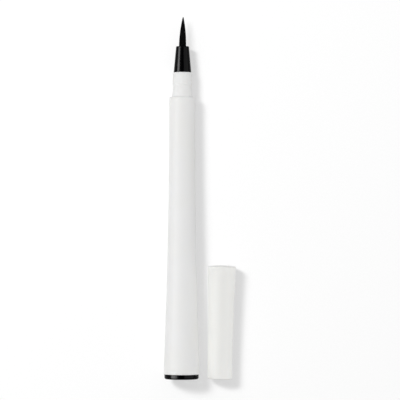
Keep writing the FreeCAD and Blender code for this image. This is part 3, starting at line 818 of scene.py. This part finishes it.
def core_outline():
    """Half section of the core, down the wick's hollow and up the outside to the point.

    Its side keeps CORE_SHARE of the brush's radius, from a little inside the cone to just short
    of the tip."""
    start = nozzle_end - NOZZLE_LIP
    wick_end = start + WICK_RISE
    heights = np.linspace(nozzle_end - CORE_ROOT, brush_tip - CORE_SIDE_SHORT, CORE_STATIONS)
    side = [(radius * CORE_SHARE, height, 0.0)
            for radius, height in zip(brush_outline_radius(heights), heights)]
    return soften([
        (0, wick_end + FIT, 0),
        (WICK_HOLE, wick_end - WICK_POINT, 0),
        (WICK_HOLE, start, FINE),
        (BRUSH_RADIUS * CORE_SHARE, start, FINE),
        *side,
        (0, brush_tip - CORE_TIP_SHORT, 0),
    ])


brush_place = leaning_place()
core = turned("brush_core", core_outline(), brush_place, inked, "pen", "bristle_black")
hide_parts("bristles")
print("brush is", round(2 * BRUSH_RADIUS, 2), "mm thick and", BRUSH_REACH, "mm long")

# %% [markdown]
# ## Filaments
# Three rings of tapered filaments lie on the core, each ring a little further out than the one
# before. A filament starts inside the cone's lip, follows the outline of the brush with a slight
# wander and twist, and thins towards its end, which lies near the tip or some way before it. All
# of them are worked out in one array: filament, station along its length, and side of its
# five-sided section.

# %% Filaments
SEED = 11
RINGS = ((0.92, 76), (0.99, 80), (1.05, 84))
STATIONS = 11
SIDES = 5
HAIR_ROOT = 2.5
HAIR_RADIUS = 0.062
HAIR_THINNING = 0.7
AXIS_SPARE = 0.004
UNEVEN_ANGLE = 0.02
SHORTEST_SHARE = 0.66
LONGEST_SHARE = 0.999
LENGTH_POWER = 3.5
WANDER = 0.012
WANDER_BEND = 9
TWIST = 0.25
SWAY = 0.03
SWAY_BEND = 5


def filament_rows():
    """Ring share, starting angle, end height, tone and phase of every filament, seeded."""
    random = np.random.default_rng(SEED)
    share = np.concatenate([np.full(count, share) for share, count in RINGS])
    even = np.concatenate([np.arange(count) / count for share, count in RINGS])
    angle = 2 * math.pi * even + random.normal(0, UNEVEN_ANGLE, len(share))
    longer = random.power(LENGTH_POWER, len(share)) * LONGEST_SHARE
    end = nozzle_end + BRUSH_REACH * (SHORTEST_SHARE + (1 - SHORTEST_SHARE) * longer)
    tone = random.random(len(share))
    phase = random.uniform(0, 2 * math.pi, len(share))
    return share, angle, end, tone, phase


def filaments():
    """All filaments as points, faces and tones.

    Along a filament, s goes from 0 to 1. At height h its middle lies at radius share R(h) - w,
    where R is the brush's outline and w the filament's own radius, which falls as
    1 - thinning s^4. Added to that are a wander of s (1 - s) sin(phase + bend s), a twist of the
    angle with s, and a sway of it that is another such sine."""
    share, angle, end, tone, phase = (part[:, None, None] for part in filament_rows())
    s = np.linspace(0, 1, STATIONS)[None, :, None]
    side = np.arange(SIDES)[None, None, :] * 2 * math.pi / SIDES
    start = nozzle_end - HAIR_ROOT
    height = start + s * (end - start)
    thin = HAIR_RADIUS * (1 - HAIR_THINNING * s ** 4)
    radius = np.maximum(share * brush_outline_radius(height) - thin, AXIS_SPARE)
    radius = radius + WANDER * s * (1 - s) * np.sin(phase + WANDER_BEND * s)
    turn = angle + TWIST * s + SWAY * np.sin(phase + SWAY_BEND * s)
    out = radius + thin * np.cos(side)
    aside = thin * np.sin(side)
    across = out * np.cos(turn) - aside * np.sin(turn)
    up = out * np.sin(turn) + aside * np.cos(turn)
    points = to_frame(brush_place, across, up, height + 0 * side).reshape(-1, 3)
    each = STATIONS * SIDES
    tube = grid_faces(STATIONS, SIDES, False)
    starts = np.arange(len(angle))[:, None, None] * each
    sides = (tube[None] + starts).reshape(-1, 4).tolist()
    ring = np.arange(SIDES)
    first = (ring[None, ::-1] + starts[:, 0]).tolist()
    last = (ring[None] + each - SIDES + starts[:, 0]).tolist()
    return points, sides + first + last, np.repeat(tone.ravel(), each)


hair_points, hair_faces, hair_tones = filaments()
hairs = make_piece("brush_filaments", hair_points, hair_faces, inked, "pen", "bristle_black")
hairs.data.attributes.new("tone", "FLOAT", "POINT").data.foreach_set("value", hair_tones)
core.data.attributes.new("tone", "FLOAT", "POINT")
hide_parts("bristles")
print("filaments:", len(hair_tones) // (STATIONS * SIDES), "with", len(hair_faces), "faces")

# %% [markdown]
# ## Cap
# The side of the cap is straight at the mouth and swings out by two degrees towards the closed
# end, a very flat dome with a crisp edge, so the cap is slightly wider there. The mouth has a fine
# chamfer. Inside, a lead-in narrows to the bore, a low bead snaps behind the bead of the neck, and
# a step stops the liner. The mounts again give the bore.

# %% Cap
CAP_BORE = mounts["cap_bore"]["dims"]["r_mm"]
SLIP = 0.07
CAP_WALL = 0.56
MOUTH_CHAMFER = 0.25
CAP_STRAIGHT = 6.0
CAP_FLARE = math.radians(2.1)
CAP_EDGE = 0.25
DOME_RISE = 0.4
CAP_BEAD_HALF = 0.4
SEAT_STEP = 0.20
CAVITY_STEP = 0.55
CAVITY_ROUND = 0.2
SPARE_CAVITY = 7.95
CAP_END_WALL = 1.6
TIP_ROOM = 1.3
LINER_FLOOR = 0.8
liner_bore_end = NECK_LENGTH + NOZZLE_LENGTH + BRUSH_REACH + TIP_ROOM
liner_end = liner_bore_end + LINER_FLOOR
cap_length = liner_end + SPARE_CAVITY + CAP_END_WALL
cap_lead_in = NECK_RADIUS + NECK_FLARE + SLIP
mouth_radius = cap_lead_in + CAP_WALL
cap_seat = CAP_BORE - SEAT_STEP


def cap_outline():
    """Half section of the cap: down the bore from its end, round the mouth, up the side."""
    edge_middle = cap_length - CAP_EDGE - DOME_RISE
    side_end = edge_middle - CAP_EDGE * math.sin(CAP_FLARE)
    end_radius = mouth_radius + (side_end - CAP_STRAIGHT) * math.tan(CAP_FLARE / 2)
    edge_radius = end_radius - CAP_EDGE * math.cos(CAP_FLARE)
    inner_arc = (edge_radius ** 2 + DOME_RISE ** 2) / (2 * DOME_RISE)
    dome_turn = math.asin(edge_radius / inner_arc)
    dome_start = (
        (inner_arc + CAP_EDGE) * math.sin(dome_turn),
        edge_middle + CAP_EDGE * math.cos(dome_turn))
    edge_turn = math.pi / 2 + CAP_FLARE - dome_turn
    cavity = cap_seat - CAVITY_STEP
    cavity_end = liner_end + SPARE_CAVITY
    bead = snap_corners(CAP_BORE, -BEAD_HEIGHT, BEAD_END - CAP_BEAD_HALF, CAP_BEAD_HALF)
    return soften([
        (0, cavity_end, 0),
        (cavity, cavity_end, CAVITY_ROUND),
        (cavity, liner_end, FINE),
        (cap_seat, liner_end, FINE),
        (cap_seat, seat_start, FINE / 2),
        (CAP_BORE, seat_start, FINE / 2),
        *bead[::-1],
        (CAP_BORE, NECK_FLARE_LENGTH, SOFT),
        (cap_lead_in, 0, SOFT),
        (mouth_radius - MOUTH_CHAMFER, 0, FINE),
        (mouth_radius, MOUTH_CHAMFER, SOFT),
        *swept((mouth_radius, CAP_STRAIGHT), (end_radius, side_end), -CAP_FLARE, count=32),
        *swept((end_radius, side_end), dome_start, edge_turn, count=12)[1:],
        *swept(dome_start, (0, cap_length), dome_turn, count=20)[1:],
    ])


cap = turned("cap_shell_body", cap_outline(), cap_place, cap_white, "cap", "cap_white")
stand_for(cap, "cap_shell")

# %% [markdown]
# ## Liner
# A milky cup of soft polyethylene sits deep in the cap. Its lip closes on the black cone and keeps
# the brush from drying out. It shows only to someone who looks into the mouth.

# %% Liner
LINER_LEAD = 0.9
LINER_LEAD_WIDTH = 0.2
LINER_ROUND = 0.4
LINER_BORE_ROUND = 0.25
liner_bore = mounts["liner_bore"]["dims"]["r_mm"]


def liner_outline():
    """Half section of the liner, from the bottom of its cup round the lip to its closed end."""
    outside = cap_seat - FIT
    return soften([
        (0, liner_bore_end, 0),
        (liner_bore, liner_bore_end, LINER_BORE_ROUND),
        (liner_bore, liner_lip + LINER_LEAD, SOFT),
        (liner_bore + LINER_LEAD_WIDTH, liner_lip, FINE),
        (outside, liner_lip, FINE),
        (outside, liner_end, LINER_ROUND),
        (0, liner_end, 0),
    ])


liner = turned(
    "cap_liner_cup", liner_outline(), cap_place, polyethylene, "cap", "natural_plastic")
stand_for(liner, "cap_liner")

# %% [markdown]
# ## Table
# The table is a matte pale grey board, large enough to reach the horizon in low views. Its grey
# throws little light back up at the pen. A glow that only the camera, mirror-like surfaces and
# clear pieces see lifts the board to white in the picture, and the shadow on it stays.

# %% Table
TABLE_HALF = 6.0
TABLE_DROP = 0.02
TABLE_GLOW = 0.545
GRAIN_MM = 0.6


def seen_directly(tree):
    """One for light that goes to the camera or is mirrored or carried by clear pieces, else zero."""
    path = add_node(tree, "ShaderNodeLightPath")
    mirrored = add_node(
        tree, "ShaderNodeMath", {"operation": "MAXIMUM"},
        {0: path.outputs["Is Camera Ray"], 1: path.outputs["Is Glossy Ray"]})
    return add_node(
        tree, "ShaderNodeMath", {"operation": "MAXIMUM"},
        {0: mirrored.outputs["Value"], 1: path.outputs["Is Transmission Ray"]}).outputs["Value"]


def matte_board():
    """Pale grey matte board with a faint grain, which shows as white."""
    finish, tree, surface = new_finish("matte_pale_grey_board", {
        "Roughness": 0.9, "Specular IOR Level": 0.1, "Emission Color": linear("#ffffff")})
    grain = noise(tree, GRAIN_MM, detail=3.0)
    tree.links.new(two_colours(tree, grain, "#a6a6a6", "#a3a3a3"), surface.inputs["Base Color"])
    glow = between(tree, seen_directly(tree), 0.0, TABLE_GLOW, start=0.0, end=1.0)
    tree.links.new(glow, surface.inputs["Emission Strength"])
    return finish


def flat_board(name, half_width, half_length, height, finish, faces_down=False):
    """A flat board of the stage at this height in metres, which faces up or down."""
    corners = np.array([(-1, -1), (1, -1), (1, 1), (-1, 1)]) * (half_width, half_length)
    points = np.column_stack([corners, np.full(4, height)])
    mesh = bpy.data.meshes.new(name)
    mesh.from_pydata(points.tolist(), [], [(3, 2, 1, 0) if faces_down else (0, 1, 2, 3)])
    mesh.materials.append(finish)
    board = bpy.data.objects.new(name, mesh)
    bpy.context.scene.collection.objects.link(board)
    return board


table = flat_board("table", TABLE_HALF, TABLE_HALF, -TABLE_DROP * MM, matte_board())
print("table is", 2 * TABLE_HALF, "m across")

# %% [markdown]
# ## Light
# A bright, even studio. Long panels stand like a tent along the object, from low on the left over
# the top to the right, and a few more show only as sheen. Two lamps at the upper left throw one
# shadow to the lower right: a small one gives it a clean edge and a larger one softens it. The
# helpers take a lamp's brightness and work out its power, so a lamp can be made wider without
# growing brighter.

# %% Lamp helpers
FAR = 1.5
NEAR = 0.7
PANEL_LENGTH = 1.8
SHEEN_LENGTH_SHARE = 1.2
PEN_AHEAD = 0.1


def directed(right, up, back, place):
    """A matrix whose columns are three directions and a place."""
    table = np.eye(4)
    table[:3, 0] = right
    table[:3, 1] = up
    table[:3, 2] = back
    table[:3, 3] = place
    return Matrix(table.tolist())


def lamp(name, toward, distance, size, radiance):
    """A rectangular lamp that faces the object from this way and distance, in metres.

    Its power is pi times its area times its radiance."""
    data = bpy.data.lights.new(name, "AREA")
    data.shape = "RECTANGLE"
    data.size, data.size_y = size
    data.energy = math.pi * size[0] * size[1] * radiance
    item = bpy.data.objects.new(name, data)
    way = np.array(toward) / np.linalg.norm(toward)
    side = np.cross((0, 1, 0), way)
    side = side / np.linalg.norm(side)
    item.matrix_world = directed(side, np.cross(way, side), way, way * distance)
    item.visible_camera = False
    item.visible_glossy = False
    bpy.context.scene.collection.objects.link(item)
    return item


def up_from_left(degrees, ahead=0):
    """The way to a lamp so many degrees up from the left, and a little ahead of the middle."""
    height = math.radians(degrees)
    return -math.cos(height), ahead, math.sin(height)


def lamp_width(spread, distance):
    """The width 2 d tan(a / 2) that spans a degrees when it is seen from a distance d."""
    return 2 * distance * math.tan(math.radians(spread) / 2)


def panel(name, degrees, spread, radiance, ahead=PEN_AHEAD):
    """A long lamp along the pen, so many degrees up from the left and as wide as its spread."""
    size = (lamp_width(spread, FAR), PANEL_LENGTH)
    return lamp(name, up_from_left(degrees, ahead), FAR, size, radiance)


def sheen(name, degrees, spread, radiance, distance=FAR):
    """A long lamp that shows only as a highlight."""
    size = (lamp_width(spread, distance), SHEEN_LENGTH_SHARE * distance)
    item = lamp(name, up_from_left(degrees), distance, size, radiance)
    item.visible_glossy = True
    item.visible_diffuse = False
    return item


print("a far lamp of 30 degrees is", round(lamp_width(30, FAR), 2), "m wide")

# %% Studio lamps
CAP_AHEAD = 0.19
TABLE_WAY = (-0.56, 0.41, 1.0)
TABLE_LAMP_DISTANCE = 1.3
crisp_lamp = lamp("crisp_lamp", TABLE_WAY, TABLE_LAMP_DISTANCE, size=(0.22, 0.16), radiance=63)
soft_lamp = lamp("soft_lamp", TABLE_WAY, TABLE_LAMP_DISTANCE, size=(0.48, 0.34), radiance=20.5)
pen_lamps = [
    panel("pen_low_left", degrees=15, spread=30, radiance=1.55),
    panel("pen_left", degrees=50, spread=44, radiance=0.80),
    panel("pen_top", degrees=85, spread=30, radiance=1.40),
]
pen_right = panel("pen_right", degrees=151, spread=44, radiance=1.08)
pen_sheen = sheen("pen_sheen", degrees=36, spread=15, radiance=5.3)
cap_lamps = [
    panel("cap_low_left", degrees=10, spread=26, radiance=2.62, ahead=CAP_AHEAD),
    panel("cap_left", degrees=50, spread=44, radiance=0.72, ahead=CAP_AHEAD),
    panel("cap_right", degrees=134, spread=44, radiance=2.02, ahead=CAP_AHEAD),
]
cap_sheen = sheen("cap_sheen", degrees=36, spread=15, radiance=5.0)
black_sheens = [
    sheen("black_strip", degrees=32.5, spread=29, radiance=50, distance=NEAR),
    sheen("black_panel", degrees=142, spread=65, radiance=3.5, distance=NEAR),
]
plug_sheen = sheen("plug_strip", degrees=53.5, spread=13, radiance=30, distance=NEAR)
print("panels:", len(pen_lamps) + 1, "for the pen and", len(cap_lamps), "for the cap")

# %% [markdown]
# ## Room light
# The pale room fills every shadow. It is the world's background, and like the table it shows as
# white while the light that it gives is much lower.

# %% Room light
ROOM_LIGHT = 0.37


def room():
    """Even light from all round, seen as white by the camera and in mirrored light."""
    world = bpy.data.worlds.new("room")
    world.use_nodes = True
    tree = world.node_tree
    tree.nodes.clear()
    strength = between(tree, seen_directly(tree), ROOM_LIGHT, 1.0, start=0.0, end=1.0)
    air = add_node(
        tree, "ShaderNodeBackground", {"Color": linear("#ffffff")}, {"Strength": strength})
    add_node(tree, "ShaderNodeOutputWorld", links={"Surface": air.outputs["Background"]})
    bpy.context.scene.world = world


room()
print("room light", ROOM_LIGHT)

# %% [markdown]
# ## Which lamp lights which piece
# Light linking gives a lamp a group of pieces that it lights and, if wanted, the only pieces that
# may shade it. Each panel is tied to the pen or to the cap, so either is lit as if it had been
# photographed alone, but for the pen's right panel, which the cap shades too. The black pieces have
# sheens of their own. The two lamps that throw the shadow light only the table, and the small one
# shines past the brush, so the brush's thin shadow stays faint.

# %% Lamps tied to pieces
def group(name, pieces):
    """A named collection of pieces that lamps can be tied to."""
    members = bpy.data.collections.new(name)
    for piece in pieces:
        members.objects.link(piece)
    return members


def tie(lamps, lit, shading=None):
    """Let these lamps light only one group, and be shaded only by another or by everything."""
    for item in lamps:
        item.light_linking.receiver_collection = lit
        item.light_linking.blocker_collection = shading


pieces = [piece for piece in bpy.context.scene.objects
          if piece.type == "MESH" and piece is not table]
cap_group = group("cap_pieces", [piece for piece in pieces if piece.name.startswith("cap_")])
pen_group = group("pen_pieces", [piece for piece in pieces if piece.name not in cap_group.objects])
black_group = group("black_pieces", [plug, nozzle])
pen_but_black = group("pen_but_black_pieces", [
    piece for piece in pen_group.objects if piece.name not in black_group.objects])
all_but_brush = group("all_but_brush", [
    piece for piece in pieces if piece not in (core, hairs)])
plug_group = group("plug_only", [plug])
table_group = group("table_only", [table])
tie([soft_lamp], table_group)
tie([crisp_lamp], table_group, all_but_brush)
tie(pen_lamps, pen_group, pen_group)
tie([pen_right], pen_group)
tie([pen_sheen], pen_but_black, pen_group)
tie(cap_lamps + [cap_sheen], cap_group, cap_group)
tie([plug_sheen], plug_group)
tie(black_sheens, black_group)

# %% [markdown]
# ## Dark card
# A card of black velvet hangs high above, over the place from which a camera would look down. It
# shades nothing and shows only in mirrored light, so the top of each black piece mirrors something
# dark.

# %% Dark card
CARD_HEIGHT = 1.25
CARD_HALF_WIDTH = 0.42
CARD_HALF_LENGTH = 1.0
velvet = new_finish(
    "black_velvet",
    {"Base Color": linear("#050505"), "Roughness": 1.0, "Specular IOR Level": 0.0})[0]
card = flat_board(
    "dark_card", CARD_HALF_WIDTH, CARD_HALF_LENGTH, CARD_HEIGHT, velvet, faces_down=True)
card.visible_camera = False
card.visible_diffuse = False
card.visible_shadow = False
print("dark card at", CARD_HEIGHT, "m")

# %% [markdown]
# ## Camera
# The photograph looks straight down from about nine tenths of a metre through a long lens, so the
# pen shows with almost no perspective. Its 400 pixels span 141 mm at the height of the pen's axis.
# The camera is turned by a sixth of a degree, because the pen leans that much in the picture.

# %% Camera
CAMERA_HEIGHT = 0.9206
CAMERA_ASIDE = -0.117
CAMERA_BELOW = -0.74
CAMERA_TURN = math.radians(0.17)
LENS = 234
camera = bpy.data.objects.new("camera", bpy.data.cameras.new("camera"))
camera.data.lens = LENS
camera.location = (CAMERA_ASIDE * MM, CAMERA_BELOW * MM, CAMERA_HEIGHT)
camera.rotation_euler = (0, 0, CAMERA_TURN)
bpy.context.scene.collection.objects.link(camera)
bpy.context.scene.camera = camera
bpy.context.scene.view_settings.view_transform = "Standard"
print("lens", LENS, "mm at", CAMERA_HEIGHT, "m")
